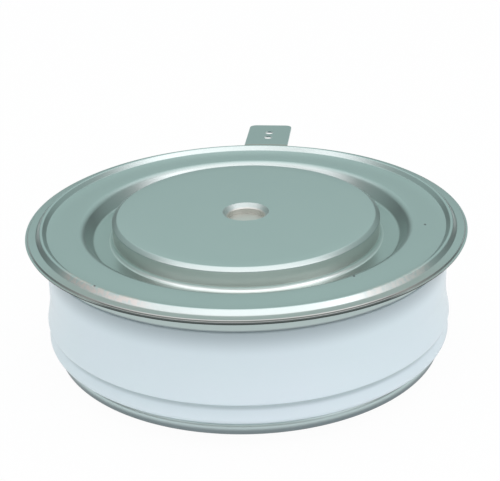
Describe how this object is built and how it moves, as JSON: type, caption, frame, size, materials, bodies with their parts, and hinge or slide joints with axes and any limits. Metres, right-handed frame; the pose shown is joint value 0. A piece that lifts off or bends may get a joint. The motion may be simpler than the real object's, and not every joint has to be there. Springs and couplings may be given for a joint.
{
  "type": "press-pack disc thyristor",
  "caption": "Flat round press-contact thyristor: copper contact faces, white ceramic ring, thin metal flanges, gate and auxiliary cathode tabs.",
  "frame": {"origin": "centre of the anode contact face, at the mouth of its locating hole", "axes": "+Z along the stack from the anode face to the cathode face; +Y towards the side where the two tabs leave"},
  "size_m": [0.042, 0.0484, 0.0143],
  "materials": {
    "satin_nickel": "satin nickel plate",
    "ceramic": "white glaze",
    "molybdenum": "ground",
    "silicon": "polished",
    "silicone": "cast",
    "insulator": "turned",
    "spring_steel": "drawn",
    "silver": "drawn"
  },
  "bodies": {
    "root": {"cathode_flange": "satin_nickel", "cathode_pole": "satin_nickel", "weld_flange": "satin_nickel", "ceramic_ring": "ceramic", "anode_flange": "satin_nickel", "anode_pole": "satin_nickel", "anode_molybdenum_disc": "molybdenum", "silicon_wafer": "silicon", "edge_passivation": "silicone", "cathode_molybdenum_disc": "molybdenum", "centring_ring": "insulator", "gate_cup": "insulator", "gate_spring": "spring_steel", "gate_washer": "spring_steel", "gate_pin": "silver", "gate_guide_bush": "insulator", "gate_wire": "silver", "gate_sleeve": "insulator", "gate_ferrule": "satin_nickel", "gate_terminal": "satin_nickel"}
  },
  "joints": []
}
